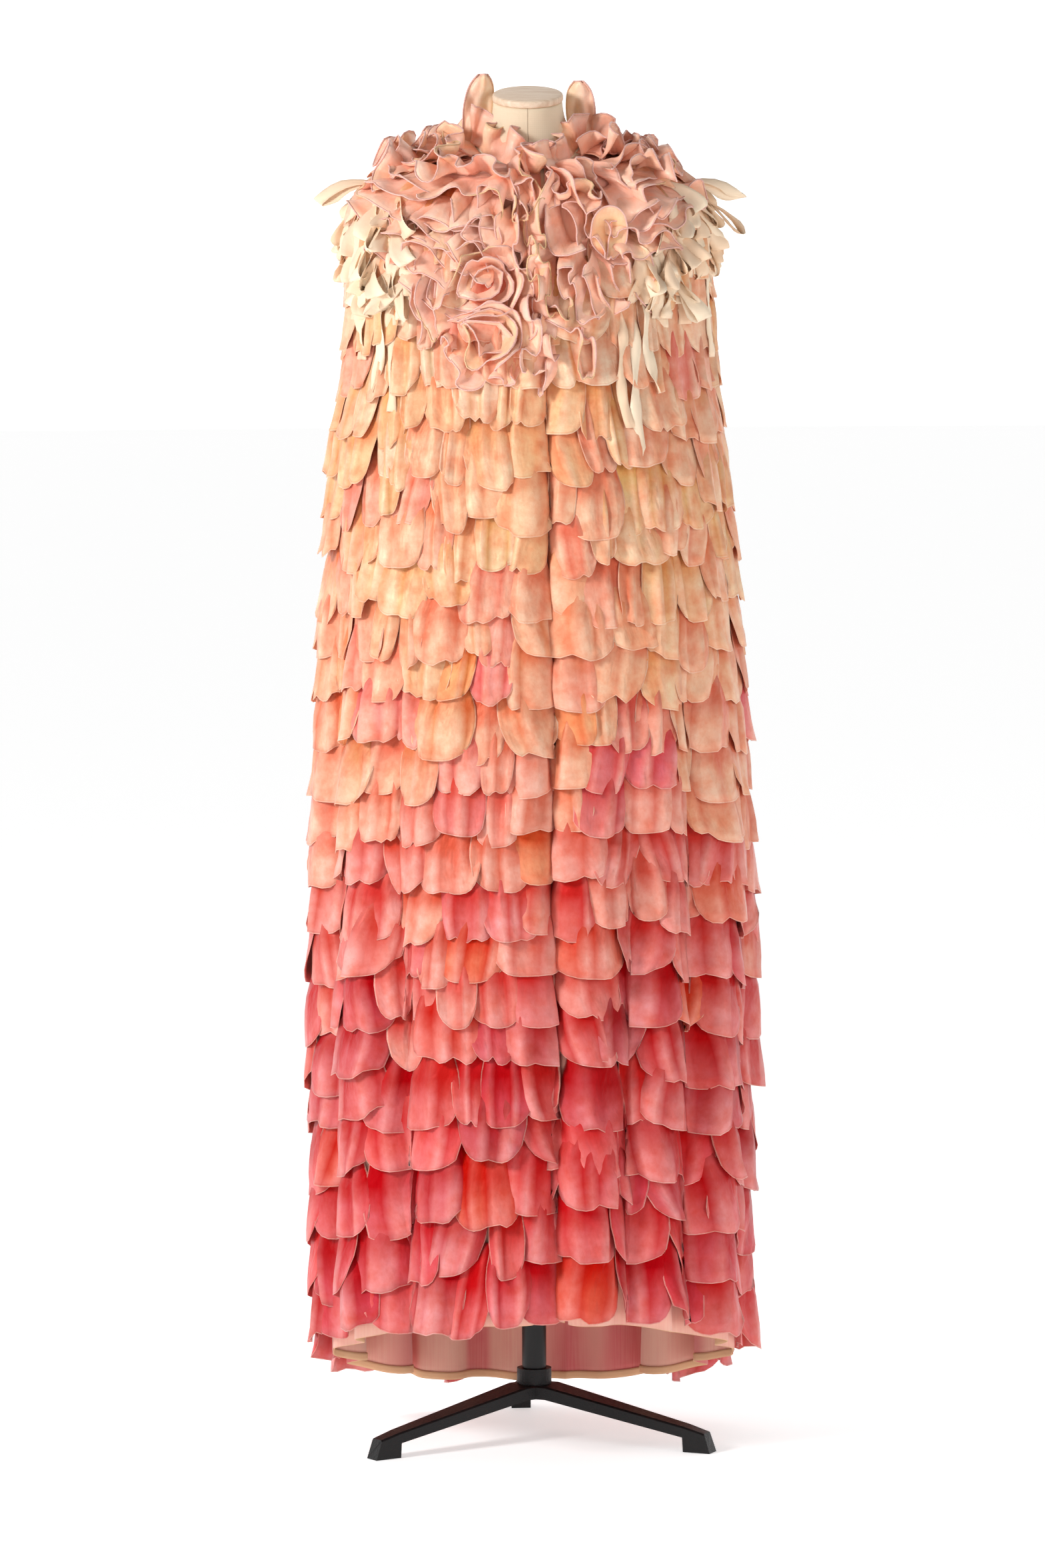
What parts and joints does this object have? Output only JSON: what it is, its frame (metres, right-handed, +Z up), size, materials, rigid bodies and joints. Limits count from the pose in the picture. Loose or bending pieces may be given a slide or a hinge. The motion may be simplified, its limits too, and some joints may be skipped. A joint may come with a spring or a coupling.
{
  "type": "petal cape on a dress form",
  "caption": "Floor-length cape of overlapping silk petals with a ruffled collar and chiffon ribbon shoulders, on a limbless dress form with a neck cap and a black tripod stand.",
  "frame": {"origin": "on the floor, under the middle of the whole object's outline", "axes": "+Z up, -Y to the wearer's front, +X to the wearer's left"},
  "size_m": [0.5548, 0.4658, 1.6904],
  "materials": {
    "silk_petals": "soft silk, hand dyed from cream at the shoulders to coral and rose at the hem",
    "ruffle_silk": "salmon silk with narrow lilac stitched edges",
    "ribbon_chiffon": "sheer cream chiffon",
    "hem_tape": "matte ecru tape",
    "form_canvas": "plain ecru canvas over a padded body",
    "pale_wood": "satin pale wood",
    "black_steel": "satin black paint",
    "black_iron": "black painted casting"
  },
  "bodies": {
    "root": {"cape_left_front": "silk_petals", "cape_left_back": "silk_petals", "cape_right_front": "silk_petals", "cape_right_back": "silk_petals", "hem_tape_left_front": "hem_tape", "hem_tape_left_back": "hem_tape", "hem_tape_right_front": "hem_tape", "hem_tape_right_back": "hem_tape", "ruffle_left_1": "ruffle_silk", "ruffle_left_2": "ruffle_silk", "ruffle_left_3": "ruffle_silk", "ruffle_left_4": "ruffle_silk", "ruffle_left_5": "ruffle_silk", "ruffle_left_6": "ruffle_silk", "ruffle_left_7": "ruffle_silk", "ruffle_right_1": "ruffle_silk", "ruffle_right_2": "ruffle_silk", "ruffle_right_3": "ruffle_silk", "ruffle_right_4": "ruffle_silk", "ruffle_right_5": "ruffle_silk", "ruffle_right_6": "ruffle_silk", "ruffle_right_7": "ruffle_silk", "rosette_upper": "ruffle_silk", "rosette_lower": "ruffle_silk", "collar_lobe_left": "ruffle_silk", "collar_lobe_right": "ruffle_silk", "ribbon_right_loop_1": "ribbon_chiffon", "ribbon_right_loop_2": "ribbon_chiffon", "ribbon_right_loop_3": "ribbon_chiffon", "ribbon_right_loop_4": "ribbon_chiffon", "ribbon_right_loop_5": "ribbon_chiffon", "ribbon_right_loop_6": "ribbon_chiffon", "ribbon_right_loop_7": "ribbon_chiffon", "ribbon_right_loop_8": "ribbon_chiffon", "ribbon_right_tail": "ribbon_chiffon", "ribbon_left_loop_1": "ribbon_chiffon", "ribbon_left_loop_2": "ribbon_chiffon", "ribbon_left_loop_3": "ribbon_chiffon", "ribbon_left_loop_4": "ribbon_chiffon", "ribbon_left_loop_5": "ribbon_chiffon", "ribbon_left_loop_6": "ribbon_chiffon", "ribbon_left_loop_7": "ribbon_chiffon", "ribbon_left_loop_8": "ribbon_chiffon", "ribbon_left_tail": "ribbon_chiffon", "form_torso": "form_canvas", "form_neck_cap": "pale_wood", "stand_pole": "black_steel", "stand_tripod": "black_iron"}
  },
  "joints": []
}
